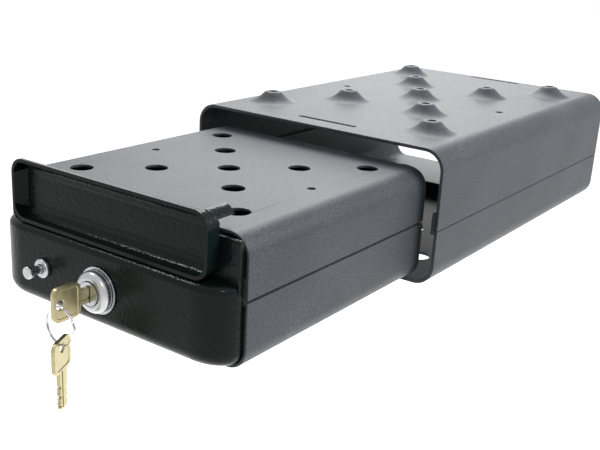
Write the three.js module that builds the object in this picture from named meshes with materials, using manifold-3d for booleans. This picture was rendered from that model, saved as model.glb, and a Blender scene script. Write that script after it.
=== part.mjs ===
// Car safe: a sheet steel casing with a lockable drawer, and the cradle that it slides into.
// Millimetres, +X to the right, +Y to the rear, +Z up, with the drawer front facing -Y.
// The origin is the centre of the nine mounting cones' flat tops, where the cradle is screwed up.
import * as THREE from "three";
import { mergeVertices } from "three/addons/utils/BufferGeometryUtils.js";
import Module from "manifold-3d";

const wasm = await Module();
wasm.setup();

// Clearances
const fit = 0.3; // between pieces that are fastened together
const slideGap = 0.6; // between pieces that slide past each other

// Cradle: two bent channels, flush outside, with the upper one lapping over the lower one
const cradleWidth = 178;
const cradleHeight = 80;
const cradleLength = 265;
const cradleRadius = 12.5;
const cradleSheet = 2;
const cradleSeam = 34;
const seamLap = 10;
const seamGroove = 1.2; // open between the two channels
const cradlePatternX = 59;
const cradlePatternY = 93.5;
const coneRadius = 16.5;
const coneHeight = 7;
const plateauRadius = 4.6;
const coneHoleRadius = 2.75;
const accessHoleRadius = 7.2;
const cradlePilotX = 61;
const cradlePilotRadius = 2.5;
const slotLength = 42;
const slotWidth = 3.5;
const frontSlotSetback = 14;
const rearSlotSetback = 3.5;

// Stop bracket on the cradle's floor
const stopWidth = 30;
const stopHeight = 9;
const stopFoot = 30;

// Casing: the same two channels, smaller
const casingWidth = 156;
const casingHeight = 65;
const casingLength = 158;
const casingRadius = 11;
const casingSheet = 1.5;
const casingSeam = 35;
const engagement = 3; // of the casing's rear end in the cradle's mouth, as photographed
const casingPatternX = 52.5;
const casingPatternY = 56;
const casingHoleRadius = 6;
const casingPilotX = 54;
const casingPilotRadius = 2.25;
const floorHoleRadius = 3;
const rearWallFlange = 8;
const rearWallSetback = 0.5;

// Drawer tray
const traySheet = 1.2;

// Front cap: a flat flange over the casing's mouth and a bulge below the handle
const capSheet = 1.5;
const flangeThickness = 3; // the flange's sheet is folded back on itself
const capInset = 2.3; // of the cap's outline inside the casing's
const capDepth = 14; // of the bulge ahead of the casing
const capLedge = 42; // height of the bulge above the casing's underside
const capCornerWidth = 20; // seen from above, where the corners are elliptical
const capBottomRadius = 10; // seen from the side
const capLedgeRadius = 3.5;

// Handle: a pan open to the front, whose upper right corner runs back over the casing as an ear
const handleSheet = 1.8;
const handleWidth = 129;
const handleHeight = 32;
const handleDepth = 8.1;
const handleRadius = 8;
const ledgeGap = 0.7; // under the handle, above the bulge
const earFrom = 30; // degrees around the pan's corner
const earTo = 75;
const earReach = 10.5; // behind the handle

// Rivets through the cap's flange and the tray's front wall
const rivetX = [-52, -22, 22, 52];
const rivetHeight = 50;
const rivetRadius = 2;
const rivetHeadRadius = 3;
const rivetHeadDepth = 0.9;
const rivetTail = 1.6;

// Cam lock
const lockHeight = 22.4; // above the casing's underside
const bezelRadius = 10.5;
const bezelDepth = 5;
const washerRadius = 11.7;
const washerThickness = 0.8;
const barrelRadius = 9;
const plugRadius = 5.9;
const keywayDepth = 16;
const nutAcross = 24;
const nutThickness = 3.5;
const camThickness = 2;
const camWidth = 10;
const camHubRadius = 7.5;
const camSquare = 7;
const camScrewRadius = 2;
const camScrewHeadRadius = 4.5;
const camScrewHead = 2.4;
const camScrewLength = 5;

// Keys and ring
const keyThickness = 2;
const keyBladeWidth = 7.6;
const keyBladeLength = 14;
const keyHeadLength = 16;
const keyHeadWidth = 17;
const keyHeadRadius = 3.5;
const keyNeck = 5.1; // of blade between the plug and the head
const keyHoleRadius = 2.5;
const keyHoleInset = 4.3; // of the hole from the head's end
const ringRadius = 9.2; // of the wire's middle line
const ringWire = 0.8;

// Push button
const buttonX = -39;
const buttonHeight = 23.3; // above the casing's underside
const bushFlangeRadius = 4.9;
const bushFlange = 2.2;
const bushRadius = 3.6;
const bushNutAcross = 10;
const bushNutThickness = 2.6;
const buttonShaftRadius = 2.2;
const buttonHeadRadius = 3.2;
const buttonHead = 2.4;
const buttonStandOff = 6; // of the head from the bush
const buttonTail = 3;
const clipRadius = 3.8;
const clipThickness = 0.9;
const springWire = 0.25;
const springRadius = 3.1;
const springTurns = 4;

// Where the assemblies stand, from the cradle's mouth (y = 0) and underside (z = 0)
const casingFront = engagement - casingLength;
const casingBase = cradleSheet + fit;
const casingTop = casingBase + casingHeight;
const capRear = casingFront - fit;
const flangeFront = capRear - flangeThickness;
const capFront = casingFront - capDepth;
const trayRear = engagement - rearWallSetback - casingSheet - rearWallFlange - slideGap;
const trayBase = casingBase + casingSheet + fit;
const lockZ = casingBase + lockHeight;
const buttonZ = casingBase + buttonHeight;
const nutFront = casingFront + traySheet + fit;
const barrelEnd = nutFront + nutThickness + 2 * fit;
const camFront = barrelEnd + 2 * fit;
const camY = camFront + camThickness / 2;
const plugShoulder = camFront - fit;
const plugFace = capFront - 3 * fit - washerThickness - bezelDepth;
const patternY = cradleLength / 2;
const frontSlotY = frontSlotSetback + slotWidth / 2;
const rearSlotY = cradleLength - rearSlotSetback - slotWidth / 2;
const dockTravel = frontSlotY - camY; // brings the cam over the cradle's front slot
const coneTop = cradleHeight + coneHeight;

// Finishes
const satinBlack = { color: 0x2b2d2e, metalness: 0.2, roughness: 0.55 };
const glossBlack = { color: 0x1b2021, metalness: 0.1, roughness: 0.25 };
const zinc = { color: 0xc3c5c6, metalness: 1, roughness: 0.3 };
const steel = { color: 0xa9abad, metalness: 1, roughness: 0.35 };
const brass = { color: 0x98906a, metalness: 1, roughness: 0.35 };

// A shape pushed along Z from z0 to z1: each arc in it gets twice as many sides as curveSegments
function alongZ(shape, z0, z1, curveSegments = 3) {
  const geometry = new THREE.ExtrudeGeometry(shape, { depth: z1 - z0, bevelEnabled: false, curveSegments });
  return solidOf(geometry.translate(0, 0, z0));
}

// A shape drawn in X and Z, pushed along Y from y0 to y1
function alongY(shape, y0, y1, curveSegments = 3) {
  const geometry = new THREE.ExtrudeGeometry(shape, { depth: y1 - y0, bevelEnabled: false, curveSegments });
  return solidOf(geometry.rotateX(Math.PI / 2).translate(0, y1, 0));
}

// A shape drawn in Y and Z, pushed along X from x0 to x1
function alongX(shape, x0, x1, curveSegments = 3) {
  const geometry = new THREE.ExtrudeGeometry(shape, { depth: x1 - x0, bevelEnabled: false, curveSegments });
  const turn = new THREE.Matrix4().makeBasis(
    new THREE.Vector3(0, 1, 0),
    new THREE.Vector3(0, 0, 1),
    new THREE.Vector3(1, 0, 0),
  );
  return solidOf(geometry.applyMatrix4(turn).translate(x0, 0, 0));
}

// A profile of [radius, y] points turned about the Y axis through (x, z)
function turned(profile, segments, x = 0, z = 0) {
  const points = profile.map(([r, y]) => new THREE.Vector2(r, y));
  return solidOf(new THREE.LatheGeometry(points, segments).translate(x, 0, z));
}

// A closed three.js geometry as a solid that can be joined and cut
function solidOf(geometry) {
  geometry.deleteAttribute("normal");
  geometry.deleteAttribute("uv");
  const merged = mergeVertices(geometry, 1e-4);
  const vertProperties = merged.attributes.position.array;
  const triVerts = new Uint32Array(merged.index.array);
  return new wasm.Manifold(new wasm.Mesh({ numProp: 3, vertProperties, triVerts }));
}

// A solid as a named mesh with its own material
function piece(name, solid, finish) {
  const { vertProperties, triVerts } = solid.getMesh();
  const geometry = new THREE.BufferGeometry();
  geometry.setAttribute("position", new THREE.BufferAttribute(new Float32Array(vertProperties), 3));
  geometry.setIndex(new THREE.BufferAttribute(new Uint32Array(triVerts), 1));
  geometry.computeVertexNormals();
  const mesh = new THREE.Mesh(geometry, new THREE.MeshStandardMaterial(finish));
  mesh.name = name;
  return mesh;
}

function circle(x, y, radius) {
  return new THREE.Shape().absarc(x, y, radius, 0, 2 * Math.PI, false);
}

// A rectangle from (x0, y0) to (x1, y1), with one radius for its lower corners and one for its upper
function rectangle(x0, y0, x1, y1, lower = 0, upper = lower) {
  const shape = new THREE.Shape();
  shape.moveTo(x0 + lower, y0);
  shape.lineTo(x1 - lower, y0);
  if (lower > 0) shape.absarc(x1 - lower, y0 + lower, lower, -Math.PI / 2, 0, false);
  shape.lineTo(x1, y1 - upper);
  if (upper > 0) shape.absarc(x1 - upper, y1 - upper, upper, 0, Math.PI / 2, false);
  shape.lineTo(x0 + upper, y1);
  if (upper > 0) shape.absarc(x0 + upper, y1 - upper, upper, Math.PI / 2, Math.PI, false);
  shape.lineTo(x0, y0 + lower);
  if (lower > 0) shape.absarc(x0 + lower, y0 + lower, lower, Math.PI, 1.5 * Math.PI, false);
  return shape;
}

function hexagon(x, z, acrossFlats) {
  const corners = [];
  for (let i = 0; i < 6; i++) {
    const angle = (i * Math.PI) / 3;
    const reach = acrossFlats / 2 / Math.cos(Math.PI / 6);
    corners.push(new THREE.Vector2(x + reach * Math.cos(angle), z + reach * Math.sin(angle)));
  }
  return new THREE.Shape(corners);
}

// The nine points of an X-shaped screw pattern about (0, y)
function pattern(halfX, halfY, y) {
  const points = [[0, y]];
  for (const share of [0.5, 1]) {
    for (const sideX of [-1, 1]) {
      for (const sideY of [-1, 1]) points.push([sideX * share * halfX, y + sideY * share * halfY]);
    }
  }
  return points;
}

// A hole or slot right through a sheet, cut along Z
function drill(solid, points, radius, z0, z1, curveSegments = 8) {
  for (const [x, y] of points) {
    solid = solid.subtract(alongZ(circle(x, y, radius), z0 - 1, z1 + 1, curveSegments));
  }
  return solid;
}

function slotted(solid, y, z0, z1) {
  const halfLength = slotLength / 2;
  const halfWidth = slotWidth / 2;
  const outline = rectangle(-halfLength, y - halfWidth, halfLength, y + halfWidth, 0.9 * halfWidth);
  return solid.subtract(alongZ(outline, z0 - 1, z1 + 1, 2));
}

// A bent channel open upwards from z0 to z1, with its two walls along Y, which step inwards under the seam
function lowerChannel(width, z0, seam, z1, y0, y1, radius, sheet) {
  const half = width / 2;
  const lapHalf = half - sheet - fit;
  const shoulder = seam - seamGroove;
  const walls = rectangle(-half, z0, half, shoulder, radius, 0);
  const lap = rectangle(-lapHalf, shoulder - 1, lapHalf, z1);
  const lowHollow = rectangle(sheet - half, z0 + sheet, half - sheet, shoulder - sheet, radius - sheet, 0);
  const lapHollow = rectangle(sheet - lapHalf, shoulder - sheet - 1, lapHalf - sheet, z1 + 1);
  return alongY(walls, y0, y1)
    .add(alongY(lap, y0, y1))
    .subtract(alongY(lowHollow, y0 - 1, y1 + 1))
    .subtract(alongY(lapHollow, y0 - 1, y1 + 1));
}

// A plain one, open downwards
function upperChannel(width, z0, z1, y0, y1, radius, sheet) {
  const outer = alongY(rectangle(-width / 2, z0, width / 2, z1, 0, radius), y0, y1);
  const innerOutline = rectangle(sheet - width / 2, z0 - 1, width / 2 - sheet, z1 - sheet, 0, radius - sheet);
  return outer.subtract(alongY(innerOutline, y0 - 1, y1 + 1));
}

// One pressed cone, hollow underneath, with a screw hole in its flat top
function cone(x, y) {
  const top = coneTop;
  const inner = coneRadius - cradleSheet;
  const profile = [
    [coneRadius, cradleHeight - cradleSheet],
    [coneRadius, cradleHeight],
    [0.72 * coneRadius, cradleHeight + 0.2 * coneHeight],
    [0.46 * coneRadius, cradleHeight + 0.66 * coneHeight],
    [plateauRadius, top],
    [coneHoleRadius, top],
    [coneHoleRadius, top - cradleSheet],
    [0.62 * inner, cradleHeight + 0.16 * coneHeight - cradleSheet / 2],
    [inner, cradleHeight - cradleSheet],
    [coneRadius, cradleHeight - cradleSheet],
  ];
  const points = profile.map(([r, z]) => new THREE.Vector2(r, z));
  return solidOf(new THREE.LatheGeometry(points, 12).rotateX(Math.PI / 2).translate(x, y, 0));
}

function cradleTopShell() {
  const floor = cradleHeight - cradleSheet;
  let shell = upperChannel(cradleWidth, cradleSeam, cradleHeight, 0, cradleLength, cradleRadius, cradleSheet);
  const cones = pattern(cradlePatternX, cradlePatternY, patternY);
  shell = drill(shell, cones, coneRadius - fit, floor, cradleHeight, 6);
  for (const [x, y] of cones) shell = shell.add(cone(x, y));
  const pilots = [[-cradlePilotX, patternY], [cradlePilotX, patternY]];
  shell = drill(shell, pilots, cradlePilotRadius, floor, cradleHeight, 5);
  shell = slotted(shell, frontSlotY, floor, cradleHeight);
  return slotted(shell, rearSlotY, floor, cradleHeight);
}

function cradleBottomShell() {
  const wallTop = cradleSeam + seamLap;
  let shell = lowerChannel(cradleWidth, 0, cradleSeam, wallTop, 0, cradleLength, cradleRadius, cradleSheet);
  const points = pattern(cradlePatternX, cradlePatternY, patternY);
  shell = drill(shell, points, accessHoleRadius, 0, cradleSheet);
  shell = slotted(shell, frontSlotY, 0, cradleSheet);
  return slotted(shell, rearSlotY, 0, cradleSheet);
}

// An angle bracket that stops the casing where the cam meets the cradle's front slot
function cradleStop() {
  const face = engagement + dockTravel + fit;
  const base = cradleSheet + fit;
  const outline = new THREE.Shape([
    new THREE.Vector2(face, base),
    new THREE.Vector2(face + stopFoot, base),
    new THREE.Vector2(face + stopFoot, base + cradleSheet),
    new THREE.Vector2(face + cradleSheet, base + cradleSheet),
    new THREE.Vector2(face + cradleSheet, base + stopHeight),
    new THREE.Vector2(face, base + stopHeight),
  ]);
  return alongX(outline, -stopWidth / 2, stopWidth / 2);
}

function casingTopShell() {
  const seam = casingBase + casingSeam;
  const ceiling = casingTop - casingSheet;
  const middle = casingFront + casingLength / 2;
  let shell = upperChannel(casingWidth, seam, casingTop, casingFront, engagement, casingRadius, casingSheet);
  shell = drill(shell, pattern(casingPatternX, casingPatternY, middle), casingHoleRadius, ceiling, casingTop);
  const pilots = [[-casingPilotX, middle], [casingPilotX, middle]];
  return drill(shell, pilots, casingPilotRadius, ceiling, casingTop, 5);
}

function casingBottomShell() {
  const seam = casingBase + casingSeam;
  const wallTop = seam + seamLap;
  const middle = casingFront + casingLength / 2;
  const floor = casingBase + casingSheet;
  const ends = [casingFront, engagement];
  let shell = lowerChannel(casingWidth, casingBase, seam, wallTop, ...ends, casingRadius, casingSheet);
  shell = drill(shell, pattern(casingPatternX, casingPatternY, middle), floorHoleRadius, casingBase, floor, 5);
  return slotted(shell, camY, casingBase, floor);
}

// Inner faces of the casing, which the rear wall and the tray fit
const innerHalfLow = casingWidth / 2 - 2 * casingSheet - fit;
const innerHalfHigh = casingWidth / 2 - casingSheet;
const innerFloor = casingBase + casingSheet;
const innerCeiling = casingTop - casingSheet;
const innerRadius = casingRadius - casingSheet;
const lapTop = casingBase + casingSeam + seamLap;

// The plate that closes the casing's rear end, with a flange bent forward along its top and bottom
function casingRearWall() {
  const rear = engagement - rearWallSetback;
  const front = rear - casingSheet;
  const halfLow = innerHalfLow - fit;
  const halfHigh = innerHalfHigh - fit;
  const lower = rectangle(-halfLow, innerFloor + fit, halfLow, lapTop + 2 * fit, innerRadius, 0);
  const upper = rectangle(-halfHigh, lapTop + fit, halfHigh, innerCeiling - fit, 0, innerRadius);
  let wall = alongY(lower, front, rear).add(alongY(upper, front, rear));
  const flangeHalf = halfLow - innerRadius;
  for (const z of [innerFloor + fit, innerCeiling - fit - casingSheet]) {
    const strip = rectangle(-flangeHalf, z, flangeHalf, z + casingSheet);
    wall = wall.add(alongY(strip, front - rearWallFlange, rear));
  }
  return wall;
}

// Height of the tray's rims, which run under the casing's rounded top edges
const trayHalf = innerHalfLow - slideGap;
const rimReach = Math.max(0, trayHalf - (casingWidth / 2 - casingRadius));
const rimDrop = innerRadius - Math.sqrt(innerRadius ** 2 - rimReach ** 2);
const trayTop = innerCeiling - rimDrop - 2 * slideGap;

function drawerTray() {
  const half = trayHalf - traySheet;
  const floor = trayBase + traySheet;
  const outline = rectangle(-trayHalf, trayBase, trayHalf, trayTop, innerRadius, 0);
  const hollow = rectangle(-half, floor, half, trayTop + 1, innerRadius - traySheet, 0);
  let tray = alongY(outline, casingFront, trayRear);
  tray = tray.subtract(alongY(hollow, casingFront + traySheet, trayRear - traySheet));
  tray = slotted(tray, camY, trayBase, floor);
  const wallEnd = casingFront + traySheet + 1;
  tray = tray.subtract(alongY(circle(0, lockZ, barrelRadius + fit), casingFront - 1, wallEnd, 12));
  const holes = rivetX.map((x) => [x, casingBase + rivetHeight, rivetRadius + fit]);
  holes.push([buttonX, buttonZ, buttonShaftRadius + fit]);
  for (const [x, z, radius] of holes) {
    tray = tray.subtract(alongY(circle(x, z, radius), casingFront - 1, wallEnd, 5));
  }
  return tray;
}

// The bulge's outer form, or with an inset its hollow: front, plan and side outlines intersected
function capBulge(inset, rear) {
  const half = casingWidth / 2 - capInset - inset;
  const bottom = casingBase + capInset + inset;
  const ledge = casingBase + capLedge - inset;
  const front = capFront + inset;
  const cornerWidth = capCornerWidth - inset;
  const cornerDepth = capDepth - fit - inset;
  const frontOutline = rectangle(-half, bottom, half, ledge, casingRadius - capInset - inset, 0);
  const cornerStart = front + cornerDepth;
  const planOutline = new THREE.Shape();
  planOutline.moveTo(half, rear + 20);
  planOutline.lineTo(-half, rear + 20);
  for (const [x, start] of [[cornerWidth - half, Math.PI], [half - cornerWidth, 1.5 * Math.PI]]) {
    planOutline.absellipse(x, cornerStart, cornerWidth, cornerDepth, start, start + Math.PI / 2, false);
  }
  const sideOutline = new THREE.Shape();
  const bottomRadius = Math.min(capBottomRadius, capDepth - fit) - inset;
  sideOutline.moveTo(rear, bottom);
  sideOutline.lineTo(rear, ledge);
  sideOutline.lineTo(front + capLedgeRadius, ledge);
  const shoulder = [front + capLedgeRadius, ledge - capLedgeRadius];
  sideOutline.absarc(...shoulder, capLedgeRadius, Math.PI / 2, Math.PI, false);
  sideOutline.lineTo(front, bottom + bottomRadius);
  sideOutline.absarc(front + bottomRadius, bottom + bottomRadius, bottomRadius, Math.PI, 1.5 * Math.PI, false);
  return alongY(frontOutline, front - 1, rear)
    .intersect(alongZ(planOutline, bottom - 1, ledge + 1))
    .intersect(alongX(sideOutline, -half - 1, half + 1));
}

function frontCap() {
  const half = casingWidth / 2 - capInset;
  const bottom = casingBase + capInset;
  const top = casingTop - capInset;
  const holeEnd = capFront + 2 * capSheet;
  let cap = alongY(rectangle(-half, bottom, half, top, casingRadius - capInset), flangeFront, capRear);
  cap = cap.add(capBulge(0, capRear)).subtract(capBulge(capSheet, capRear + 1));
  cap = cap.subtract(alongY(circle(0, lockZ, barrelRadius + fit), capFront - 1, holeEnd, 12));
  cap = cap.subtract(alongY(circle(buttonX, buttonZ, bushRadius + fit), capFront - 1, holeEnd, 6));
  for (const x of rivetX) {
    const profile = [
      [0, flangeFront - 1],
      [rivetHeadRadius + 2 * fit, flangeFront - 1],
      [rivetHeadRadius + 2 * fit, flangeFront],
      [rivetRadius + fit, flangeFront + rivetHeadDepth + fit],
      [rivetRadius + fit, capRear + 1],
      [0, capRear + 1],
    ];
    cap = cap.subtract(turned(profile, 8, x, casingBase + rivetHeight));
  }
  return cap;
}

// A countersunk rivet, flush with the cap's flange, with its tail behind the tray's front wall
function capRivet(x) {
  const tail = casingFront + traySheet + fit;
  const profile = [
    [0, flangeFront + 0.2],
    [rivetHeadRadius, flangeFront + 0.2],
    [rivetRadius, flangeFront + 0.2 + rivetHeadDepth],
    [rivetRadius, tail],
    [rivetHeadRadius, tail],
    [0.7 * rivetHeadRadius, tail + rivetTail],
    [0, tail + rivetTail],
  ];
  return turned(profile, 8, x, casingBase + rivetHeight);
}

function handlePan() {
  const rear = flangeFront - fit;
  const front = rear - handleDepth;
  const half = handleWidth / 2;
  const bottom = casingBase + capLedge + ledgeGap;
  const top = bottom + handleHeight;
  const inner = rectangle(
    handleSheet - half,
    bottom + handleSheet,
    half - handleSheet,
    top - handleSheet,
    handleRadius - handleSheet,
  );
  let pan = alongY(rectangle(-half, bottom, half, top, handleRadius), front, rear);
  pan = pan.subtract(alongY(inner, front - 1, rear - handleSheet));
  const corner = [half - handleRadius, top - handleRadius];
  const from = THREE.MathUtils.degToRad(earFrom);
  const to = THREE.MathUtils.degToRad(earTo);
  const earRadius = handleRadius - fit / 2;
  const ear = new THREE.Shape();
  ear.absarc(...corner, earRadius, from, to, false);
  ear.absarc(...corner, earRadius - handleSheet, to, from, true);
  return pan.add(alongY(ear, rear - handleSheet / 2, rear + earReach));
}

// The lock's domed bezel and threaded barrel, bored for the plug
function lockBody() {
  const rear = plugFace + fit + bezelDepth;
  const front = plugFace + fit;
  const bore = plugRadius + fit;
  const profile = [
    [bore, front],
    [0.66 * bezelRadius, front],
    [0.84 * bezelRadius, front + 0.18 * bezelDepth],
    [0.95 * bezelRadius, front + 0.45 * bezelDepth],
    [bezelRadius, front + 0.8 * bezelDepth],
    [bezelRadius, rear],
    [barrelRadius, rear],
    [barrelRadius, barrelEnd],
    [bore, barrelEnd],
    [bore, front],
  ];
  return turned(profile, 24, 0, lockZ);
}

function holedPlate(outline, hole, y0, y1, curveSegments) {
  return alongY(outline, y0, y1, curveSegments).subtract(alongY(hole, y0 - 1, y1 + 1, curveSegments));
}

function lockWasher() {
  const rear = capFront - fit;
  const hole = circle(0, lockZ, barrelRadius + fit);
  return holedPlate(circle(0, lockZ, washerRadius), hole, rear - washerThickness, rear, 12);
}

function lockNut() {
  const hole = circle(0, lockZ, barrelRadius + fit);
  return holedPlate(hexagon(0, lockZ, nutAcross), hole, nutFront, nutFront + nutThickness, 12);
}

// The plug, with a keyway in its face and a square end that turns the cam
function lockPlug() {
  const half = camSquare / 2;
  const keywayHalf = keyThickness / 2 + fit;
  const keywayReach = keyBladeWidth / 2 + fit;
  const square = rectangle(-half, lockZ - half, half, lockZ + half);
  let plug = alongY(circle(0, lockZ, plugRadius), plugFace, plugShoulder, 10);
  plug = plug.add(alongY(square, plugShoulder - 1, camFront + camThickness - fit));
  const keyway = rectangle(-keywayHalf, lockZ - keywayReach, keywayHalf, lockZ + keywayReach);
  plug = plug.subtract(alongY(keyway, plugFace - 1, plugFace + keywayDepth));
  const boreEnd = camFront + camThickness + fit - camScrewLength - 2 * fit;
  return plug.subtract(alongY(circle(0, lockZ, camScrewRadius + fit), boreEnd, camY + camThickness, 5));
}

// The cam points to the right when unlocked and down, through the floors' slots, when locked
function lockCam() {
  const reach = lockHeight + cradleSheet; // ends a gap short of the cradle's underside
  const half = camWidth / 2;
  const arm = new THREE.Shape();
  arm.moveTo(0, lockZ - half);
  arm.lineTo(reach - half, lockZ - half);
  arm.absarc(reach - half, lockZ, half, -Math.PI / 2, Math.PI / 2, false);
  arm.lineTo(0, lockZ + half);
  const rear = camFront + camThickness;
  const hub = alongY(circle(0, lockZ, camHubRadius), camFront, rear, 8);
  const square = camSquare / 2 + fit;
  const hole = rectangle(-square, lockZ - square, square, lockZ + square);
  return hub.add(alongY(arm, camFront, rear)).subtract(alongY(hole, camFront - 1, rear + 1));
}

function camScrew() {
  const seat = camFront + camThickness + fit;
  const profile = [
    [0, seat - camScrewLength],
    [camScrewRadius, seat - camScrewLength],
    [camScrewRadius, seat],
    [camScrewHeadRadius, seat],
    [camScrewHeadRadius, seat + 0.6 * camScrewHead],
    [0.6 * camScrewHeadRadius, seat + camScrewHead],
    [0, seat + camScrewHead],
  ];
  return turned(profile, 12, 0, lockZ);
}

// A flat key drawn in Y and Z with its blade along +Y: its head ends at y = 0 and its hole is near there
function keyBlank() {
  const halfHead = keyHeadWidth / 2;
  const halfBlade = keyBladeWidth / 2;
  const bladeEnd = keyHeadLength + keyNeck + keyBladeLength;
  const outline = rectangle(0, -halfHead, keyHeadLength, halfHead, keyHeadRadius);
  const half = keyThickness / 2;
  const blade = new THREE.Shape([
    new THREE.Vector2(keyHeadLength - 1, -halfBlade),
    new THREE.Vector2(bladeEnd - 0.4 * halfBlade, -halfBlade),
    new THREE.Vector2(bladeEnd, -0.5 * halfBlade),
    new THREE.Vector2(bladeEnd, 0.5 * halfBlade),
    new THREE.Vector2(bladeEnd - 0.4 * halfBlade, halfBlade),
    new THREE.Vector2(keyHeadLength - 1, halfBlade),
  ]);
  const blank = alongX(outline, -half, half).add(alongX(blade, -half, half));
  return blank.subtract(alongX(circle(keyHoleInset, 0, keyHoleRadius), -half - 1, half + 1, 6));
}

// Places on the key chain, from the plug's face outwards and down
const keyY = plugFace - keyNeck - keyHeadLength;
const keyHoleY = keyY + keyHoleInset;
const hangGap = keyHoleRadius - ringWire - fit; // of the wire from a hole's middle
const ringTopZ = lockZ - hangGap;
const ringZ = ringTopZ - ringRadius;
const ringBottomZ = ringZ - ringRadius;
const spareTurn = 25; // degrees about Z

function keyInLock() {
  return keyBlank().translate([0, keyY, lockZ]);
}

function keyRing() {
  const sides = 6;
  const profile = [];
  for (let i = 0; i <= sides; i++) {
    const angle = (2 * Math.PI * i) / sides;
    profile.push([ringRadius + ringWire * Math.cos(angle), keyHoleY + ringWire * Math.sin(angle)]);
  }
  return turned(profile, 24, 0, ringZ);
}

// The spare key hangs straight down from the ring, turned a little about the vertical
function spareKey() {
  const hung = keyBlank().translate([0, -keyHoleInset, 0]).rotate([-90, 0, 0]);
  return hung.rotate([0, 0, spareTurn]).translate([0, keyHoleY, ringBottomZ - hangGap]);
}

// Push button, along Y from its head to its tail behind the tray's front wall
const bushSeat = capFront - fit;
const bushNutRear = capFront + capSheet + fit + bushNutThickness;
const bushEnd = bushNutRear + fit;
const buttonHeadRear = bushSeat - bushFlange - buttonStandOff;
const clipFront = bushEnd + fit;
const springFront = clipFront + clipThickness + fit;
const springRear = casingFront - fit;

function buttonBush() {
  const bore = buttonShaftRadius + fit;
  const profile = [
    [bore, bushSeat - bushFlange],
    [0.8 * bushFlangeRadius, bushSeat - bushFlange],
    [bushFlangeRadius, bushSeat - 0.7 * bushFlange],
    [bushFlangeRadius, bushSeat],
    [bushRadius, bushSeat],
    [bushRadius, bushEnd],
    [bore, bushEnd],
    [bore, bushSeat - bushFlange],
  ];
  return turned(profile, 14, buttonX, buttonZ);
}

function buttonNut() {
  const hole = circle(buttonX, buttonZ, bushRadius + fit);
  const front = bushNutRear - bushNutThickness;
  return holedPlate(hexagon(buttonX, buttonZ, bushNutAcross), hole, front, bushNutRear, 6);
}

// The shaft has a groove for its clip
function buttonPlunger() {
  const front = buttonHeadRear - buttonHead;
  const end = casingFront + traySheet + buttonTail;
  const groove = 0.7 * buttonShaftRadius;
  const profile = [
    [0, front],
    [0.8 * buttonHeadRadius, front],
    [buttonHeadRadius, front + 0.25 * buttonHead],
    [buttonHeadRadius, buttonHeadRear],
    [buttonShaftRadius, buttonHeadRear],
    [buttonShaftRadius, clipFront - fit / 2],
    [groove, clipFront - fit / 2],
    [groove, clipFront + clipThickness + fit / 2],
    [buttonShaftRadius, clipFront + clipThickness + fit / 2],
    [buttonShaftRadius, end],
    [0, end],
  ];
  return turned(profile, 12, buttonX, buttonZ);
}

function buttonClip() {
  const hole = circle(buttonX, buttonZ, 0.7 * buttonShaftRadius + fit / 2);
  const disc = circle(buttonX, buttonZ, clipRadius);
  return holedPlate(disc, hole, clipFront, clipFront + clipThickness, 6);
}

// A coil spring from the clip to the tray's front wall, one closed tube along a helix
function buttonSpring() {
  const steps = 10 * springTurns;
  const sides = 5;
  const length = springRear - springFront - 2 * springWire;
  const positions = [];
  const faces = [];
  for (let i = 0; i <= steps; i++) {
    const angle = (2 * Math.PI * springTurns * i) / steps;
    const y = springFront + springWire + (length * i) / steps;
    for (let j = 0; j < sides; j++) {
      const around = (2 * Math.PI * j) / sides;
      const radius = springRadius + springWire * Math.cos(around);
      const x = buttonX + radius * Math.cos(angle);
      const z = buttonZ + radius * Math.sin(angle);
      positions.push(x, y + springWire * Math.sin(around), z);
    }
  }
  for (let i = 0; i < steps; i++) {
    for (let j = 0; j < sides; j++) {
      const a = i * sides + j;
      const b = i * sides + ((j + 1) % sides);
      faces.push(a, b, a + sides, b, b + sides, a + sides);
    }
  }
  const last = steps * sides;
  for (let j = 1; j < sides - 1; j++) {
    faces.push(0, j + 1, j);
    faces.push(last, last + j, last + j + 1);
  }
  const geometry = new THREE.BufferGeometry();
  geometry.setAttribute("position", new THREE.Float32BufferAttribute(positions, 3));
  geometry.setIndex(faces);
  return solidOf(geometry);
}

function cradle() {
  return new THREE.Group().add(
    piece("cradle_top_shell", cradleTopShell(), satinBlack),
    piece("cradle_bottom_shell", cradleBottomShell(), satinBlack),
    piece("cradle_stop", cradleStop(), satinBlack),
  );
}

function casing() {
  return new THREE.Group().add(
    piece("casing_top_shell", casingTopShell(), satinBlack),
    piece("casing_bottom_shell", casingBottomShell(), satinBlack),
    piece("casing_rear_wall", casingRearWall(), satinBlack),
  );
}

function drawer() {
  const group = new THREE.Group().add(
    piece("drawer_tray", drawerTray(), satinBlack),
    piece("front_cap", frontCap(), glossBlack),
    piece("handle_pan", handlePan(), glossBlack),
  );
  rivetX.forEach((x, i) => group.add(piece(`cap_rivet_${i + 1}`, capRivet(x), steel)));
  return group;
}

function lock() {
  return new THREE.Group().add(
    piece("lock_body", lockBody(), zinc),
    piece("lock_washer", lockWasher(), zinc),
    piece("lock_nut", lockNut(), steel),
    piece("lock_plug", lockPlug(), zinc),
    piece("lock_cam", lockCam(), steel),
    piece("cam_screw", camScrew(), steel),
  );
}

function keys() {
  return new THREE.Group().add(
    piece("key", keyInLock(), brass),
    piece("key_ring", keyRing(), steel),
    piece("spare_key", spareKey(), brass),
  );
}

function button() {
  return new THREE.Group().add(
    piece("button_bush", buttonBush(), zinc),
    piece("button_nut", buttonNut(), steel),
    piece("button_plunger", buttonPlunger(), zinc),
    piece("button_clip", buttonClip(), steel),
    piece("button_spring", buttonSpring(), steel),
  );
}

const carSafe = new THREE.Group();
carSafe.add(cradle(), casing(), drawer(), lock(), keys(), button());
carSafe.position.set(0, -patternY, -coneTop);

export default carSafe;
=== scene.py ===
import math

import bmesh
import bpy
from mathutils import Matrix, Vector


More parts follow.
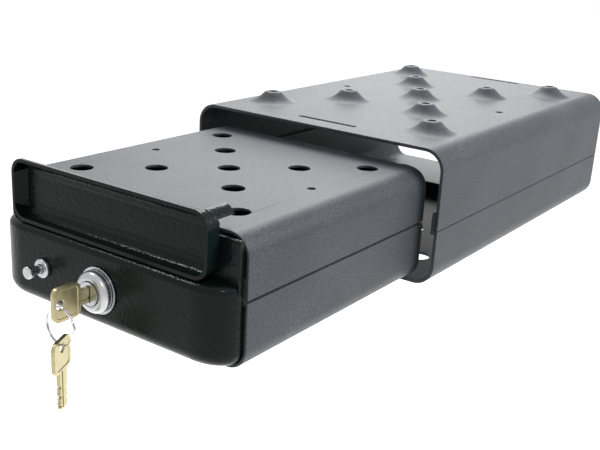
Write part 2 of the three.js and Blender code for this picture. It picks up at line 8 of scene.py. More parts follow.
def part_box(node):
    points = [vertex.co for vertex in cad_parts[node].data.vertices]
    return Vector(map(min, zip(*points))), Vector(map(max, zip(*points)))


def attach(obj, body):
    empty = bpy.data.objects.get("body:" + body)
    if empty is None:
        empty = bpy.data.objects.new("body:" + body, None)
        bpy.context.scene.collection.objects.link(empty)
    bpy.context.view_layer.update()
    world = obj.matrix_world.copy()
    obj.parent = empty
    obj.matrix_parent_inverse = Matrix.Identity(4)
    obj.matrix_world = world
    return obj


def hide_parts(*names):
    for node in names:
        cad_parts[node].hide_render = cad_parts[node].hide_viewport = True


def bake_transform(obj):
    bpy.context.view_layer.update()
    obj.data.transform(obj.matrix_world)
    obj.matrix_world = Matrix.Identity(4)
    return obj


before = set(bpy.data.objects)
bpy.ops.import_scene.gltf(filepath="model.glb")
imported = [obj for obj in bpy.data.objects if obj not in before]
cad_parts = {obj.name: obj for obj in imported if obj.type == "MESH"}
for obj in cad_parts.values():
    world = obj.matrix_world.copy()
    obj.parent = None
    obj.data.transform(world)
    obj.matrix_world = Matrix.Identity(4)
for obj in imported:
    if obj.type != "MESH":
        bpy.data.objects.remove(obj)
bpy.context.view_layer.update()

# Cradle, upper channel. 2 mm mild steel sheet, punched with two long slots and two pilot holes and pressed into
# nine bell-shaped cones, then bent down over both sides. Its flat is screwed up under a seat through the cones,
# and it is finished in satin black powder coat, which gives a soft grey sheen over a fine grain.
MM = 0.001
GAP = 0.3  # between pieces that rest on each other or are welded
CRADLE_WIDTH = 178
CRADLE_HEIGHT = 80
CRADLE_LENGTH = 265
CRADLE_MIDDLE = CRADLE_LENGTH / 2
CRADLE_RADIUS = 12.5
CRADLE_SHEET = 2
CRADLE_SEAM = 34
CRADLE_EDGE = 0.35
CRADLE_PILOT_X = 61
CRADLE_PILOT_RADIUS = 2.5
SLOT_LENGTH = 42
SLOT_WIDTH = 3.5
SLOT_SIDES = 16
FRONT_SETBACK = 14
REAR_SETBACK = 3.5
CRADLE_SLOTS = [FRONT_SETBACK + SLOT_WIDTH / 2, CRADLE_LENGTH - REAR_SETBACK - SLOT_WIDTH / 2]
BEND_STEPS = 12
SHARP_ANGLE = 40  # degrees, past which an edge is broken
SMOOTH_ANGLE = 24  # degrees, past which an edge isn't shaded as one surface
CONE_X = 59
CONE_Y = 93.5
CONE_SIDES = 48
CONE_BELL = [  # radius and height of each ring, from the foot to the screw hole in the flat top
    (16.5, 0),
    (15.4, 0.12),
    (14.3, 0.4),
    (13.2, 0.8),
    (12.1, 1.3),
    (11, 1.9),
    (10, 2.55),
    (9, 3.3),
    (8.1, 4.1),
    (7.2, 4.95),
    (6.4, 5.75),
    (5.7, 6.4),
    (5.1, 6.8),
    (4.4, 7.0),
    (2.75, 7.0),
]
# The cradle's mouth and underside in the row frame, whose origin is at its middle, level with the cones' tops
MOUTH = Vector((0, -CRADLE_MIDDLE, -CRADLE_HEIGHT - CONE_BELL[-1][1]))


def at(x, y, z):
    """Millimetres from the cradle's mouth and underside, as metres in the row frame."""
    return (Vector((x, y, z)) + MOUTH) * MM


def let_go():
    """Leaves edit mode and deselects every piece."""
    if bpy.context.object and bpy.context.object.mode != "OBJECT":
        bpy.ops.object.mode_set(mode="OBJECT")
    bpy.ops.object.select_all(action="DESELECT")


def alone(piece, mode="OBJECT"):
    """Selects one piece and nothing else, in object or edit mode."""
    let_go()
    piece.select_set(True)
    bpy.context.view_layer.objects.active = piece
    if mode == "EDIT":
        bpy.ops.object.mode_set(mode="EDIT")
        bpy.ops.mesh.select_all(action="DESELECT")


def pick(piece, kind, *tests):
    """In edit mode, selects the vertices, edges or faces whose corners all pass one of the tests on their place."""
    bpy.ops.mesh.select_mode(type=kind)
    bpy.ops.mesh.select_all(action="DESELECT")
    mesh = bmesh.from_edit_mesh(piece.data)
    parts = {"VERT": mesh.verts, "EDGE": mesh.edges, "FACE": mesh.faces}[kind]
    for part in parts:
        corners = [part] if kind == "VERT" else part.verts
        places = [corner.co / MM - MOUTH for corner in corners]
        if any(all(test(*place) for place in places) for test in tests):
            part.select_set(True)
    bmesh.update_edit_mesh(piece.data)


def near(value, target):
    """Whether two measures are the same but for rounding."""
    return abs(value - target) < 0.02


def extrude(x=0, y=0, z=0):
    """Draws what is selected out by so many millimetres."""
    bpy.ops.mesh.extrude_region_move(TRANSFORM_OT_translate={"value": (x * MM, y * MM, z * MM)})


def modify(piece, kind, **settings):
    """Adds a modifier and applies it."""
    alone(piece)
    modifier = piece.modifiers.new(kind.lower(), kind)
    for name, value in settings.items():
        setattr(modifier, name, value)
    bpy.ops.object.modifier_apply(modifier=modifier.name)


def thicken(piece, sheet):
    """Turns an outer skin's faces outwards, then gives it its sheet's thickness inwards."""
    alone(piece, "EDIT")
    bpy.ops.mesh.select_all(action="SELECT")
    bpy.ops.mesh.remove_doubles(threshold=0.002 * MM)
    bpy.ops.mesh.normals_make_consistent(inside=False)
    modify(piece, "SOLIDIFY", thickness=sheet * MM, offset=-1, use_even_offset=True)


def ease(piece, width, segments=2):
    """Breaks the sharp edges by a fraction of a millimetre and shades the rest smooth."""
    sharp = math.radians(SHARP_ANGLE)
    modify(piece, "BEVEL", width=width * MM, segments=segments, limit_method="ANGLE", angle_limit=sharp)
    bpy.ops.object.shade_smooth_by_angle(angle=math.radians(SMOOTH_ANGLE))
    modify(piece, "WEIGHTED_NORMAL", keep_sharp=True, weight=100)


def channel(name, width, base, rim, y0, y1, radius, sheet, holes, slots=(), shoulder=None):
    """A sheet with holes in its flat at height base, bent along both sides towards height rim.

    Each hole is its place in X and Y, its radius and its number of sides. With a shoulder, the sides step inwards
    there by the sheet and a gap, to lap behind another channel's.
    """
    way = 1 if rim > base else -1
    flat = width / 2 - radius
    end = SLOT_WIDTH / 2
    reach = end + 0.1
    let_go()
    bpy.ops.mesh.primitive_plane_add(size=1, location=at(0, (y0 + y1) / 2, base))
    piece = bpy.context.object
    piece.name = name
    piece.scale = (2 * flat * MM, (y1 - y0) * MM, 1)
    bpy.ops.object.transform_apply(location=True, rotation=True, scale=True)
    alone(piece, "EDIT")
    bpy.ops.mesh.select_all(action="SELECT")
    bpy.ops.mesh.delete(type="ONLY_FACE")
    for x, y, hole_radius, sides in holes:
        bpy.ops.mesh.primitive_circle_add(vertices=sides, radius=hole_radius * MM, location=at(x, y, base))
    for y in slots:
        bpy.ops.mesh.primitive_circle_add(vertices=SLOT_SIDES, radius=end * MM, location=at(0, y, base))
        for side in (-1, 1):
            pick(piece, "VERT", lambda px, py, pz: abs(py - y) < reach and 0.1 < side * px < reach)
            bpy.ops.transform.translate(value=(side * (SLOT_LENGTH / 2 - end) * MM, 0, 0))
    bpy.ops.mesh.select_mode(type="VERT")
    bpy.ops.mesh.select_all(action="SELECT")
    bpy.ops.mesh.fill(use_beauty=True)
    for side in (-1, 1):
        pick(piece, "EDGE", lambda px, py, pz: near(px, side * flat))
        bpy.ops.mesh.spin(
            steps=BEND_STEPS,
            angle=side * way * math.pi / 2,
            center=at(side * flat, 0, base + way * radius),
            axis=(0, 1, 0),
        )
        pick(piece, "EDGE", lambda px, py, pz: near(px, side * width / 2))
        if shoulder:
            extrude(z=shoulder - base - radius)
            extrude(x=-side * (sheet + GAP))
            extrude(z=rim - shoulder)
        else:
            extrude(z=rim - base - way * radius)
    bpy.ops.object.mode_set(mode="OBJECT")
    return piece


def screw_pattern(half_x, half_y, middle):
    """The nine points of the X-shaped screw pattern."""
    points = [(0, middle)]
    for share in (0.5, 1):
        for side_x in (-1, 1):
            for side_y in (-1, 1):
                points.append((side_x * share * half_x, middle + side_y * share * half_y))
    return points


def pilot_pair(half_x, middle):
    """The two points of the pilot holes, one on each side."""
    return [(-half_x, middle), (half_x, middle)]


def punched(points, radius, sides):
    """The same round hole at each point."""
    return [(x, y, radius, sides) for x, y in points]


def linear(code):
    """An sRGB hex colour as linear red, green, blue and alpha."""
    shares = [int(code[i : i + 2], 16) / 255 for i in (1, 3, 5)]
    return [s / 12.92 if s <= 0.04045 else ((s + 0.055) / 1.055) ** 2.4 for s in shares] + [1]


def add(tree, kind, inputs, **settings):
    """Adds a node with its settings, and sets or links its inputs by name or number."""
    node = tree.nodes.new("ShaderNode" + kind)
    for name, value in settings.items():
        setattr(node, name, value)
    for name, value in inputs.items():
        if isinstance(value, bpy.types.NodeSocket):
            tree.links.new(value, node.inputs[name])
        else:
            node.inputs[name].default_value = value
    return node


def finish_of(name):
    """A new material with the tree and the shader that its finish is set on."""
    material = bpy.data.materials.new(name)
    material.use_nodes = True
    tree = material.node_tree
    return material, tree, tree.nodes["Principled BSDF"]


def dress(piece, material):
    """Gives a piece its one finish."""
    piece.data.materials.clear()
    piece.data.materials.append(material)


# Satin black powder coat: a resin film of IOR 1.5, sprayed on as powder and baked, which scatters light into a grey
# sheen. Its grain is about 0.4 mm, drawn at 1.1 mm because a finer one falls between the picture's points.
COAT_DARK = "#2d3236"
COAT_PALE = "#54595e"
CLOUD = 40
GRAIN = 1.1
GRAIN_DEPTH = 0.2
satin_coat, tree, shader = finish_of("satin_black_powder_coat")
place = add(tree, "TexCoord", {}).outputs["Object"]
cloud = add(tree, "TexNoise", {"Vector": place, "Scale": 1 / (CLOUD * MM), "Detail": 3})
grain = add(tree, "TexNoise", {"Vector": place, "Scale": 1 / (GRAIN * MM), "Detail": 2, "Roughness": 0.6})
speck = add(tree, "MapRange", {"Value": grain.outputs["Fac"], "From Min": 0.35, "From Max": 0.65})
share = add(tree, "Math", {0: cloud.outputs["Fac"], 1: speck.outputs["Result"]}, operation="MULTIPLY")
tone = add(tree, "Mix", {0: share.outputs[0], 6: linear(COAT_DARK), 7: linear(COAT_PALE)}, data_type="RGBA")
relief = add(tree, "Bump", {"Height": grain.outputs["Fac"], "Strength": 0.5, "Distance": GRAIN_DEPTH * MM})
tree.links.new(tone.outputs[2], shader.inputs["Base Color"])
tree.links.new(relief.outputs["Normal"], shader.inputs["Normal"])
shader.inputs["Roughness"].default_value = 0.5
shader.inputs["IOR"].default_value = 1.5
shader.inputs["Specular IOR Level"].default_value = 0.28  # the white room would lift it, the real one was darker

foot_radius = CONE_BELL[0][0]
cone_points = screw_pattern(CONE_X, CONE_Y, CRADLE_MIDDLE)
pilot_points = pilot_pair(CRADLE_PILOT_X, CRADLE_MIDDLE)
cradle_upper = channel(
    "cradle_upper_channel",
    width=CRADLE_WIDTH,
    base=CRADLE_HEIGHT,
    rim=CRADLE_SEAM,
    y0=0,
    y1=CRADLE_LENGTH,
    radius=CRADLE_RADIUS,
    sheet=CRADLE_SHEET,
    holes=punched(cone_points, foot_radius, CONE_SIDES) + punched(pilot_points, CRADLE_PILOT_RADIUS, sides=20),
    slots=CRADLE_SLOTS,
)
let_go()
cone_middle = at(0, CRADLE_MIDDLE, CRADLE_HEIGHT)
bpy.ops.mesh.primitive_circle_add(vertices=CONE_SIDES, radius=foot_radius * MM, location=cone_middle)
cone = bpy.context.object
bpy.ops.object.transform_apply(location=True, rotation=True, scale=True)
alone(cone, "EDIT")
bpy.ops.mesh.select_all(action="SELECT")
for (radius, height), (next_radius, next_height) in zip(CONE_BELL, CONE_BELL[1:]):
    extrude(z=next_height - height)
    shrink = next_radius / radius
    bpy.ops.transform.resize(value=(shrink, shrink, 1), center_override=cone_middle)
bpy.ops.object.mode_set(mode="OBJECT")
cones = [cone]
for x, y in cone_points[1:]:
    copy = cone.copy()
    copy.data = cone.data.copy()
    bpy.context.collection.objects.link(copy)
    copy.location = Vector((x, y - CRADLE_MIDDLE, 0)) * MM
    cones.append(copy)
alone(cradle_upper)
for copy in cones:
    copy.select_set(True)
bpy.ops.object.join()
thicken(cradle_upper, CRADLE_SHEET)
ease(cradle_upper, CRADLE_EDGE)
dress(cradle_upper, satin_coat)
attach(cradle_upper, "cradle")
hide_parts("cradle_top_shell")

# Cradle, lower channel. The same 2 mm sheet, bent up with a step under the seam, so that its rims lap inside the
# upper one's sides, spot-welded, and the outside stays flush. It has nine punched holes under the cones for a
# screwdriver and the same two slots. The lock's cam drops into the front one.
ACCESS_RADIUS = 7.2
SEAM_LAP = 10
CRADLE_GROOVE = 0.4
cradle_lower = channel(
    "cradle_lower_channel",
    width=CRADLE_WIDTH,
    base=0,
    rim=CRADLE_SEAM + SEAM_LAP,
    y0=0,
    y1=CRADLE_LENGTH,
    radius=CRADLE_RADIUS,
    sheet=CRADLE_SHEET,
    holes=punched(cone_points, ACCESS_RADIUS, sides=40),
    slots=CRADLE_SLOTS,
    shoulder=CRADLE_SEAM - CRADLE_GROOVE,
)
thicken(cradle_lower, CRADLE_SHEET)
ease(cradle_lower, CRADLE_EDGE)
dress(cradle_lower, satin_coat)
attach(cradle_lower, "cradle")
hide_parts("cradle_bottom_shell")

# Stop bracket. A bent strip of the cradle's sheet, spot-welded to its floor, that the casing's rear end meets.
dress(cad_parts["cradle_stop"], satin_coat)

# Casing, upper channel. 1.5 mm sheet bent like the cradle's, with nine 12 mm holes over the drawer for screws from
# inside and two pilot holes, powder coated in the same satin black.
CASING_WIDTH = 156
CASING_HEIGHT = 65
CASING_LENGTH = 158
CASING_BASE = CRADLE_SHEET + GAP
CASING_TOP = CASING_BASE + CASING_HEIGHT
CASING_REAR = 3  # this far inside the cradle's mouth
CASING_FRONT = CASING_REAR - CASING_LENGTH
CASING_MIDDLE = (CASING_FRONT + CASING_REAR) / 2
CASING_RADIUS = 11
CASING_SHEET = 1.5
CASING_SEAM = CASING_BASE + 35
CASING_EDGE = 0.3
CASING_HOLE_X = 52.5
CASING_HOLE_Y = 56
CASING_HOLE_RADIUS = 6
CASING_PILOT_X = 54
CASING_PILOT_RADIUS = 2.25
casing_points = screw_pattern(CASING_HOLE_X, CASING_HOLE_Y, CASING_MIDDLE)
pilot_points = pilot_pair(CASING_PILOT_X, CASING_MIDDLE)
casing_upper = channel(
    "casing_upper_channel",
    width=CASING_WIDTH,
    base=CASING_TOP,
    rim=CASING_SEAM,
    y0=CASING_FRONT,
    y1=CASING_REAR,
    radius=CASING_RADIUS,
    sheet=CASING_SHEET,
    holes=punched(casing_points, CASING_HOLE_RADIUS, sides=40) + punched(pilot_points, CASING_PILOT_RADIUS, sides=20),
)
thicken(casing_upper, CASING_SHEET)
ease(casing_upper, CASING_EDGE)
dress(casing_upper, satin_coat)
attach(casing_upper, "casing")
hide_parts("casing_top_shell")

# Casing, lower channel. The same sheet bent up, stepped under the seam like the cradle's and spot-welded inside the
# upper one, with nine screw holes and the slot that the cam passes through.
CASING_SCREW_RADIUS = 3
CASING_GROOVE = 1.2
CAM_SLOT = CASING_FRONT + 7.2
casing_lower = channel(
    "casing_lower_channel",
    width=CASING_WIDTH,
    base=CASING_BASE,
    rim=CASING_SEAM + SEAM_LAP,
    y0=CASING_FRONT,
    y1=CASING_REAR,
    radius=CASING_RADIUS,
    sheet=CASING_SHEET,
    holes=punched(casing_points, CASING_SCREW_RADIUS, sides=24),
    slots=[CAM_SLOT],
    shoulder=CASING_SEAM - CASING_GROOVE,
)
thicken(casing_lower, CASING_SHEET)
ease(casing_lower, CASING_EDGE)
dress(casing_lower, satin_coat)
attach(casing_lower, "casing")
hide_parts("casing_bottom_shell")

# Casing, rear wall. A 1.5 mm plate set just inside the casing's rear end, with a flange bent forward along its top
# and bottom, welded in and coated with the rest.
dress(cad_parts["casing_rear_wall"], satin_coat)

# Drawer tray. A 1.2 mm sheet pan that slides in the casing, rounded along its lower edges, with holes in its front
# wall for the lock, the button and four rivets.
SLIDE_GAP = 0.6
TRAY_HALF = CASING_WIDTH / 2 - 2 * CASING_SHEET - GAP - SLIDE_GAP  # inside the lap of the casing's seam
TRAY_BASE = CASING_BASE + CASING_SHEET + GAP
TRAY_REAR = CASING_REAR - 10.6  # ahead of the rear wall's flanges
TRAY_RADIUS = 9.5
TRAY_SHEET = 1.2
TRAY_EDGE = 0.25
LOCK_Z = CASING_BASE + 22.4
LOCK_HOLE_RADIUS = 9.3
BUTTON_X = -39
BUTTON_Z = CASING_BASE + 23.3
BUTTON_BORE_RADIUS = 2.5
RIVETS_X = [-52, -22, 22, 52]
RIVET_Z = CASING_BASE + 50
RIVET_HOLE_RADIUS = 2.3
PAST = 1  # how far a cut runs past what it cuts
tray_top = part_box("drawer_tray")[1].z / MM - MOUTH.z


def block(name, x0, x1, y0, y1, z0, z1):
    """A plain block between two corners, to shape or to cut with."""
    let_go()
    bpy.ops.mesh.primitive_cube_add(size=1, location=at((x0 + x1) / 2, (y0 + y1) / 2, (z0 + z1) / 2))
    piece = bpy.context.object
    piece.name = name
    piece.scale = ((x1 - x0) * MM, (y1 - y0) * MM, (z1 - z0) * MM)
    bpy.ops.object.transform_apply(location=True, rotation=True, scale=True)
    return piece


def rod(name, x, z, radius, y0, y1, sides=48):
    """A round bar along Y, to shape or to cut with."""
    let_go()
    bpy.ops.mesh.primitive_cylinder_add(
        vertices=sides,
        radius=radius * MM,
        depth=(y1 - y0) * MM,
        location=at(x, (y0 + y1) / 2, z),
        rotation=(math.pi / 2, 0, 0),
    )
    piece = bpy.context.object
    piece.name = name
    bpy.ops.object.transform_apply(location=True, rotation=True, scale=True)
    return piece


def round_edges(piece, radius, segments, *tests):
    """Rounds the edges whose ends pass one of the tests, in edit mode."""
    pick(piece, "EDGE", *tests)
    bpy.ops.mesh.bevel(offset=radius * MM, segments=segments, affect="EDGES", clamp_overlap=True)


def combine(piece, other, operation="DIFFERENCE"):
    """Cuts one piece out of another, or joins it on."""
    modify(piece, "BOOLEAN", object=other, operation=operation, solver="EXACT")
    bpy.data.objects.remove(other)


def bore(piece, x, z, radius, y0, y1, sides=48):
    """Cuts a round hole along Y between two faces."""
    combine(piece, rod("cut", x, z, radius, y0 - PAST, y1 + PAST, sides))


tray = block("tray_pan", -TRAY_HALF, TRAY_HALF, CASING_FRONT, TRAY_REAR, TRAY_BASE, tray_top)
alone(tray, "EDIT")
round_edges(tray, TRAY_RADIUS, 10, lambda x, y, z: near(z, TRAY_BASE) and near(abs(x), TRAY_HALF))
pick(tray, "FACE", lambda x, y, z: near(z, tray_top))
bpy.ops.mesh.delete(type="FACE")
thicken(tray, TRAY_SHEET)
slot_x = SLOT_LENGTH / 2
slot_y = SLOT_WIDTH / 2
tray_front = CASING_FRONT + TRAY_SHEET
combine(tray, block("cut", -slot_x, slot_x, CAM_SLOT - slot_y, CAM_SLOT + slot_y, 0, 2 * TRAY_BASE))
bore(tray, 0, LOCK_Z, LOCK_HOLE_RADIUS, CASING_FRONT, tray_front)
bore(tray, BUTTON_X, BUTTON_Z, BUTTON_BORE_RADIUS, CASING_FRONT, tray_front, sides=24)
for x in RIVETS_X:
    bore(tray, x, RIVET_Z, RIVET_HOLE_RADIUS, CASING_FRONT, tray_front, sides=20)
ease(tray, TRAY_EDGE)
dress(tray, satin_coat)
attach(tray, "drawer")
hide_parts("drawer_tray")

# Front cap. A 1.5 mm sheet pressing: a flat flange over the casing's mouth with its edge folded back, and below the
# handle a bulge with elliptical corners that the lock stands in. It is coated in gloss black with a slight hammer
# dimple, drawn a little coarser than the real 1.5 mm, with pale specks painted on at random as glints of light in
# the dimples, drawn like chips of bare steel.
CAP_INSET = 2.3  # inside the casing's outline all round
CAP_HALF = CASING_WIDTH / 2 - CAP_INSET
CAP_BOTTOM = CASING_BASE + CAP_INSET
CAP_TOP = CASING_TOP - CAP_INSET
CAP_REAR = CASING_FRONT - GAP
CAP_FRONT = CAP_REAR - 13.7
CAP_SHEET = 1.5
CAP_EDGE = 0.3
CAP_LEDGE = CASING_BASE + 42
CAP_CORNER = 20
CAP_STRIP = 0.4
CAP_BOTTOM_RADIUS = 8
CAP_LEDGE_RADIUS = 3.5
FLANGE_FRONT = CAP_REAR - 2 * CAP_SHEET
FLANGE_LAP = 4.5
FLANGE_RADIUS = 8.7
FLANGE_FOLD = 1.8
BUSH_HOLE_RADIUS = 3.9
RIVET_HEAD_RADIUS = 3.6
RIVET_HEAD_DEPTH = 1.1
GLOSS_BLACK = "#101a18"
# the pale colour of the specks painted on the coat as glints
GLINT_PALE = "#a9aaa6"
DIMPLE = 2.2
DIMPLE_DEPTH = 0.35
# how far apart the painted glints lie
GLINT_SPREAD = 6
hammer_coat, tree, shader = finish_of("gloss_black_hammer_coat")
place = add(tree, "TexCoord", {}).outputs["Object"]
dimples = add(tree, "TexNoise", {"Vector": place, "Scale": 1 / (DIMPLE * MM), "Detail": 2.5, "Roughness": 0.55})
relief = add(tree, "Bump", {"Height": dimples.outputs["Fac"], "Strength": 0.7, "Distance": DIMPLE_DEPTH * MM})
# Pale specks painted on at random stand in for glints of light in the dimples, drawn like chips of bare steel.
glint_noise = add(tree, "TexNoise", {"Vector": place, "Scale": 1 / (GLINT_SPREAD * MM), "Detail": 4, "Roughness": 0.7})
painted_glints = add(tree, "MapRange", {"Value": glint_noise.outputs["Fac"], "From Min": 0.745, "From Max": 0.76})
coat_or_glint = {0: painted_glints.outputs["Result"], 6: linear(GLOSS_BLACK), 7: linear(GLINT_PALE)}
tone = add(tree, "Mix", coat_or_glint, data_type="RGBA")
tree.links.new(tone.outputs[2], shader.inputs["Base Color"])
tree.links.new(relief.outputs["Normal"], shader.inputs["Normal"])
shader.inputs["Roughness"].default_value = 0.2
shader.inputs["IOR"].default_value = 1.5
shader.inputs["Specular IOR Level"].default_value = 0.12  # the white room would turn it grey, the real one was dark

# The corners are rounded on a deeper block, up to a narrow strip at its rear edge, and are then pressed flatter
stretch = CAP_CORNER / (CAP_REAR - CAP_FRONT)
deep = CAP_REAR - CAP_CORNER
cap = block("cap_pressing", -CAP_HALF, CAP_HALF, deep, CAP_REAR, CAP_BOTTOM, CAP_LEDGE)
alone(cap, "EDIT")
pick(cap, "FACE", lambda x, y, z: near(y, CAP_REAR))
bpy.ops.mesh.delete(type="FACE")
bpy.ops.mesh.select_all(action="SELECT")
bpy.ops.mesh.bisect(plane_co=at(0, 0, 0), plane_no=(1, 0, 0))
round_edges(cap, CAP_CORNER - CAP_STRIP, 16, lambda x, y, z: near(abs(x), CAP_HALF) and near(y, deep))
bpy.ops.mesh.select_all(action="SELECT")
bpy.ops.transform.resize(value=(1, 1 / stretch, 1), center_override=at(0, CAP_REAR, 0))


def ahead(x, y):
    """Everything but the middle of the cap's rear edge."""
    return y < CAP_REAR - 0.1 or abs(x) > CAP_HALF - 0.05


round_edges(cap, CAP_BOTTOM_RADIUS, 10, lambda x, y, z: near(z, CAP_BOTTOM) and ahead(x, y))
round_edges(cap, CAP_LEDGE_RADIUS, 6, lambda x, y, z: near(z, CAP_LEDGE) and ahead(x, y))
thicken(cap, CAP_SHEET)
flange = block("flange", -CAP_HALF, CAP_HALF, FLANGE_FRONT, CAP_REAR, CAP_LEDGE - FLANGE_LAP, CAP_TOP)
alone(flange, "EDIT")
round_edges(flange, FLANGE_RADIUS, 10, lambda x, y, z: near(z, CAP_TOP) and near(abs(x), CAP_HALF))
round_edges(flange, FLANGE_FOLD, 5, lambda x, y, z: near(y, FLANGE_FRONT))
combine(cap, flange, "UNION")
bore(cap, 0, LOCK_Z, LOCK_HOLE_RADIUS, CAP_FRONT, CAP_FRONT + CAP_SHEET)
bore(cap, BUTTON_X, BUTTON_Z, BUSH_HOLE_RADIUS, CAP_FRONT, CAP_FRONT + CAP_SHEET, sides=24)
for x in RIVETS_X:
    head_end = FLANGE_FRONT + RIVET_HEAD_DEPTH
    combine(cap, rod("cut", x, RIVET_Z, RIVET_HEAD_RADIUS, FLANGE_FRONT - PAST, head_end, sides=24))
    bore(cap, x, RIVET_Z, RIVET_HOLE_RADIUS, FLANGE_FRONT, CAP_REAR, sides=24)
ease(cap, CAP_EDGE)
dress(cap, hammer_coat)
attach(cap, "drawer")
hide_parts("front_cap")

# Handle. A shallow pan of 1.8 mm sheet, open to the front and welded to the cap's flange. Its upper right corner
# runs back over the casing as an ear. It wears the same gloss black as the cap, with the same pale specks painted on
# as glints.
HANDLE_HALF = 64.5
HANDLE_BOTTOM = CAP_LEDGE + 0.7
HANDLE_TOP = HANDLE_BOTTOM + 32
HANDLE_REAR = FLANGE_FRONT - GAP
HANDLE_FRONT = HANDLE_REAR - 8.1
HANDLE_SHEET = 1.8
HANDLE_RADIUS = 8
HANDLE_FOLD = 3
HANDLE_EDGE = 0.7
EAR_START = HANDLE_REAR - 3.2
EAR_END = HANDLE_REAR + 10.5
EAR_RADIUS = HANDLE_RADIUS - 0.15  # a little inside the pan's corner, so that their faces don't coincide
EAR_CUT_X = 1.9
EAR_CUT_Z = 3.4
handle = block("handle_pressing", -HANDLE_HALF, HANDLE_HALF, HANDLE_FRONT, HANDLE_REAR, HANDLE_BOTTOM, HANDLE_TOP)
alone(handle, "EDIT")
pick(handle, "FACE", lambda x, y, z: near(y, HANDLE_FRONT))
bpy.ops.mesh.delete(type="FACE")
round_edges(
    handle,
    HANDLE_RADIUS,
    12,
    lambda x, y, z: near(abs(x), HANDLE_HALF) and near(z, HANDLE_BOTTOM),
    lambda x, y, z: near(abs(x), HANDLE_HALF) and near(z, HANDLE_TOP),
)
round_edges(handle, HANDLE_FOLD, 6, lambda x, y, z: near(y, HANDLE_REAR))
thicken(handle, HANDLE_SHEET)
corner = (HANDLE_HALF - HANDLE_RADIUS, HANDLE_TOP - HANDLE_RADIUS)
ear = rod("ear", *corner, EAR_RADIUS, EAR_START, EAR_END, sides=96)
bore(ear, *corner, EAR_RADIUS - HANDLE_SHEET, EAR_START, EAR_END, sides=96)
sector = block(
    "sector",
    corner[0] + EAR_CUT_X,
    HANDLE_HALF + PAST,
    EAR_START - PAST,
    EAR_END + PAST,
    corner[1] + EAR_CUT_Z,
    HANDLE_TOP + PAST,
)
combine(ear, sector, "INTERSECT")
combine(handle, ear, "UNION")
ease(handle, HANDLE_EDGE, segments=3)
dress(handle, hammer_coat)
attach(handle, "drawer")
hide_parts("handle_pan")

# Rivets. Four countersunk steel rivets, zinc plated, that join the cap's flange to the tray's front wall behind the
# handle. Zinc plating is a soft blue-white metal, with an uneven sheen a few millimetres across.
ZINC = "#c4c7ca"
SHEEN = 5
zinc_steel, tree, shader = finish_of("zinc_plated_steel")
place = add(tree, "TexCoord", {}).outputs["Object"]
cloud = add(tree, "TexNoise", {"Vector": place, "Scale": 1 / (SHEEN * MM), "Detail": 4, "Roughness": 0.6})
sheen = add(tree, "MapRange", {"Value": cloud.outputs["Fac"], "To Min": 0.22, "To Max": 0.4})
tree.links.new(sheen.outputs["Result"], shader.inputs["Roughness"])
shader.inputs["Base Color"].default_value = linear(ZINC)
shader.inputs["Metallic"].default_value = 1
for i in range(1, 5):
    dress(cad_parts[f"cap_rivet_{i}"], zinc_steel)

# Lock body. A die-cast zinc cam lock, bright nickel plated and polished, with a domed bezel over a threaded barrel
# that a nut draws against the cap. Casting leaves faint waves under the plating, which bend its reflections.
WASHER_SHEET = 0.8
BEZEL_RADIUS = 10.5
BEZEL_REAR = CAP_FRONT - WASHER_SHEET - 2 * GAP
BEZEL_FRONT = BEZEL_REAR - 5
BEZEL_DOME = 3.4
BEZEL_LIP = 0.5
BEZEL_DISH = 0.35
BARREL_RADIUS = 9
BARREL_END = BEZEL_REAR + 21
PLUG_BORE = 6.2
LOCK_SIDES = 64
LOCK_EDGE = 0.15
BRIGHT_PLATING = "#b2b4b6"
WAVE = 6
WAVE_DEPTH = 0.1
SCUFFING = 1.5
bright_zinc, tree, shader = finish_of("bright_plated_zinc")
place = add(tree, "TexCoord", {}).outputs["Object"]
waves = add(tree, "TexNoise", {"Vector": place, "Scale": 1 / (WAVE * MM), "Detail": 2})
relief = add(tree, "Bump", {"Height": waves.outputs["Fac"], "Strength": 0.3, "Distance": WAVE_DEPTH * MM})
wear = add(tree, "TexNoise", {"Vector": place, "Scale": 1 / (SCUFFING * MM), "Detail": 3})
polish = add(tree, "MapRange", {"Value": wear.outputs["Fac"], "To Min": 0.2, "To Max": 0.36})
tree.links.new(relief.outputs["Normal"], shader.inputs["Normal"])
tree.links.new(polish.outputs["Result"], shader.inputs["Roughness"])
shader.inputs["Base Color"].default_value = linear(BRIGHT_PLATING)
shader.inputs["Metallic"].default_value = 1

lock = rod("lock_bezel", 0, LOCK_Z, BEZEL_RADIUS, BEZEL_FRONT, BEZEL_REAR, LOCK_SIDES)
alone(lock, "EDIT")
pick(lock, "FACE", lambda x, y, z: near(y, BEZEL_REAR))
bpy.ops.mesh.inset(thickness=(BEZEL_RADIUS - BARREL_RADIUS) * MM)
extrude(y=BARREL_END - BEZEL_REAR)
round_edges(lock, BEZEL_DOME, 8, lambda x, y, z: near(y, BEZEL_FRONT))
pick(lock, "FACE", lambda x, y, z: near(y, BEZEL_FRONT))
bpy.ops.mesh.inset(thickness=BEZEL_LIP * MM)
extrude(y=BEZEL_DISH)
bpy.ops.object.mode_set(mode="OBJECT")
bore(lock, 0, LOCK_Z, PLUG_BORE, BEZEL_FRONT, BARREL_END, LOCK_SIDES)
ease(lock, LOCK_EDGE)
dress(lock, bright_zinc)
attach(lock, "drawer")
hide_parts("lock_body")

# Lock washer and nut. A thin plated ring under the bezel, and a plain zinc plated hexagon nut behind the cap.
WASHER_RADIUS = 11.7
WASHER_BORE = 9.3
WASHER_REAR = CAP_FRONT - GAP
WASHER_FRONT = WASHER_REAR - WASHER_SHEET
WASHER_EDGE = 0.2
washer = rod("lock_washer_ring", 0, LOCK_Z, WASHER_RADIUS, WASHER_FRONT, WASHER_REAR, LOCK_SIDES)
bore(washer, 0, LOCK_Z, WASHER_BORE, WASHER_FRONT, WASHER_REAR, LOCK_SIDES)
ease(washer, WASHER_EDGE)
dress(washer, bright_zinc)
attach(washer, "drawer")
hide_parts("lock_washer")
dress(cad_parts["lock_nut"], zinc_steel)

